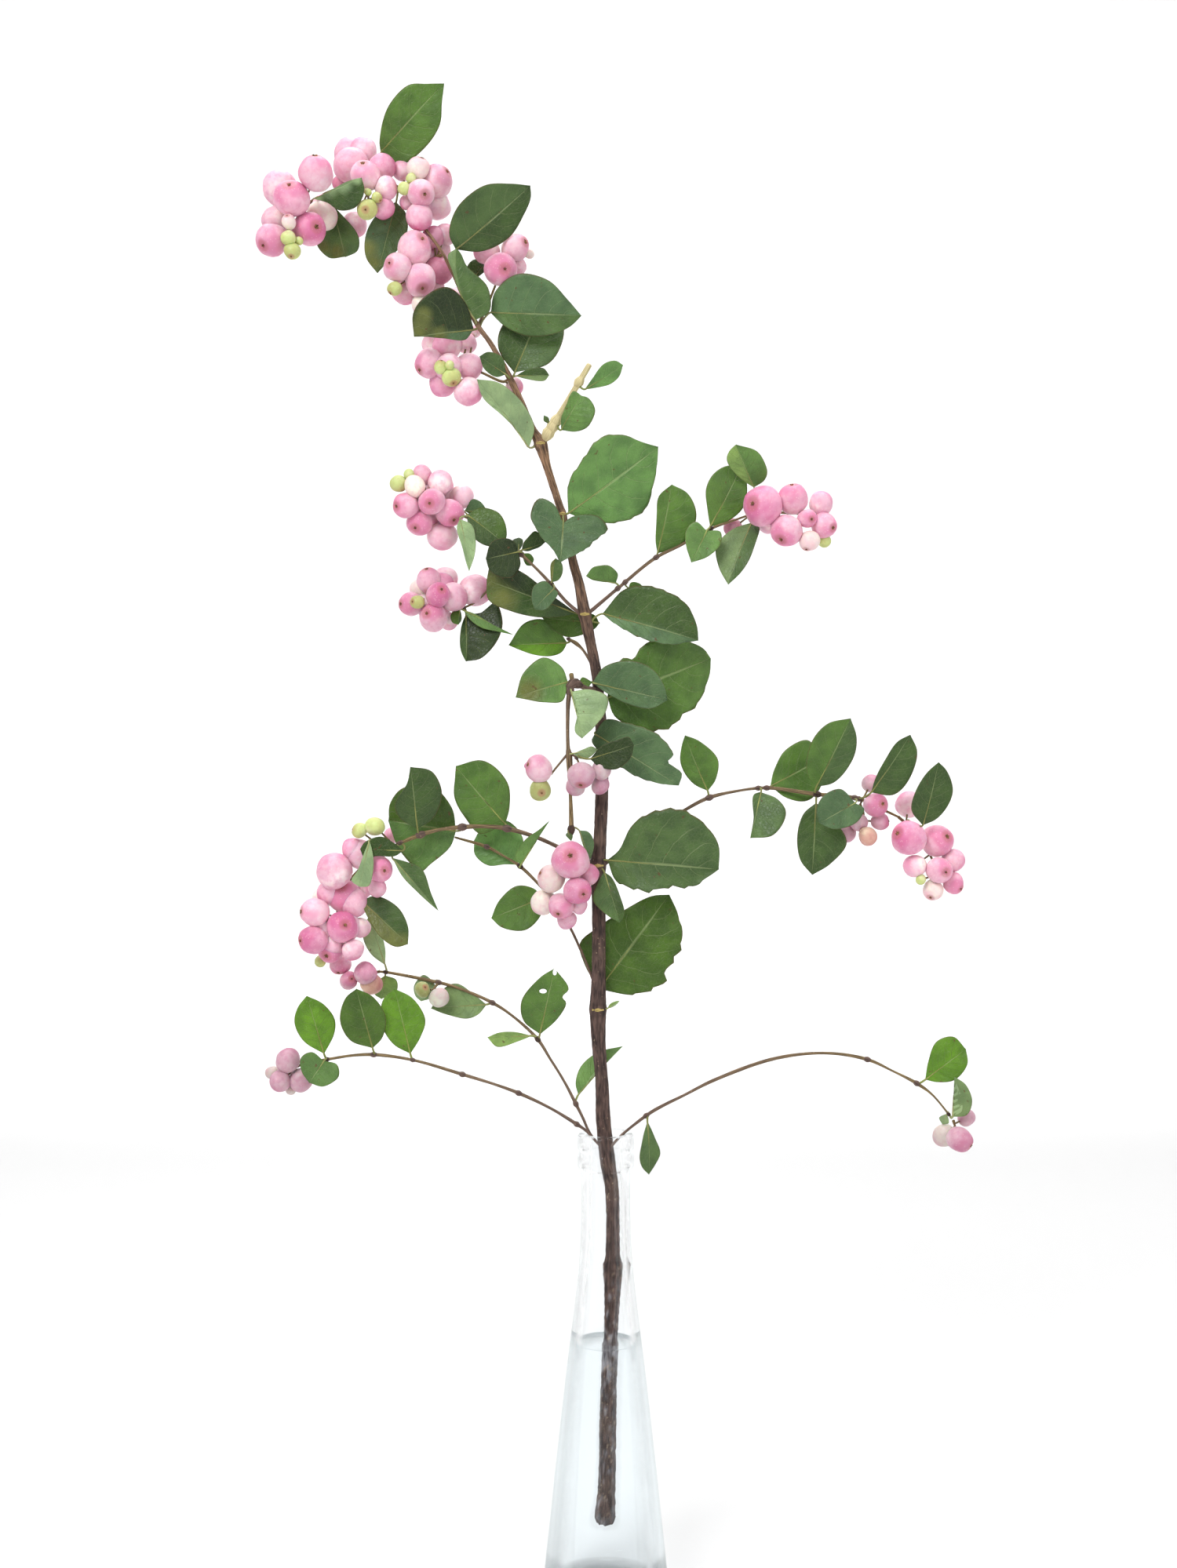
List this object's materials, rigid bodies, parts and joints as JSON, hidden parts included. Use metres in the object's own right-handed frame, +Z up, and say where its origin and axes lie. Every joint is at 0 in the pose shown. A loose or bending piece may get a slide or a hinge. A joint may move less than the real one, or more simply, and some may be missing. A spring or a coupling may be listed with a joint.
{
  "type": "snowberry stem in a bottle vase",
  "caption": "Cut woody snowberry stem with leafy twigs and bunches of pink berries, standing in water in a clear glass bottle.",
  "frame": {"origin": "centre of the bottle's flat base, on the table", "axes": "+Z up along the bottle's axis, +X to the viewer's right, -Y toward the viewer"},
  "size_m": [0.3322, 0.0584, 0.7011],
  "materials": {
    "glass": "clear, smooth",
    "water": "clear, wet",
    "bark": "matte, ridged, with knots",
    "peeled_wood": "matte, bare wood",
    "leaf": "satin upper face, matte pale under face",
    "berry": "waxy satin skin"
  },
  "bodies": {
    "root": {"bunch_crown_left": "berry", "bunch_crown_low": "berry", "bunch_crown_right": "berry", "bunch_drooping_end": "berry", "bunch_drooping_middle": "berry", "bunch_drooping_side": "berry", "bunch_left_long": "berry", "bunch_left_lower": "berry", "bunch_left_upper": "berry", "bunch_low_left_end": "berry", "bunch_low_left_small": "berry", "bunch_low_right": "berry", "bunch_lowest_left": "berry", "bunch_right_end": "berry", "bunch_right_middle": "berry", "bunch_right_upper": "berry", "bunch_tip_left": "berry", "bunch_tip_middle": "berry", "bunch_tip_right": "berry", "glass_bottle": "glass", "leaf_behind_node": "leaf", "leaf_bow_tie": "leaf", "leaf_crown_dark": "leaf", "leaf_crown_fold": "leaf", "leaf_crown_left": "leaf", "leaf_crown_middle": "leaf", "leaf_crown_right": "leaf", "leaf_crown_small": "leaf", "leaf_crown_top": "leaf", "leaf_crown_wide": "leaf", "leaf_left_large": "leaf", "leaf_pale_long": "leaf", "leaf_right_bitten": "leaf", "leaf_right_end": "leaf", "leaf_right_first": "leaf", "leaf_right_grey": "leaf", "leaf_right_large": "leaf", "leaf_right_low": "leaf", "leaf_right_toothed": "leaf", "leaf_right_upper": "leaf", "leaf_stem_bud": "leaf", "leaf_stem_fold": "leaf", "leaf_stem_front": "leaf", "leaf_stem_wrap": "leaf", "leaf_under_bunch": "leaf", "leaves_crown_behind": "leaf", "main_stem": "bark", "peeled_stub": "peeled_wood", "twig_drooping": "leaf", "twig_left_forked": "leaf", "twig_left_small": "leaf", "twig_left_thick": "leaf", "twig_left_thin": "leaf", "twig_low_right": "leaf", "twig_right_middle": "leaf", "twig_right_upper": "leaf", "twigs_low_left": "leaf", "water": "water"}
  },
  "joints": []
}
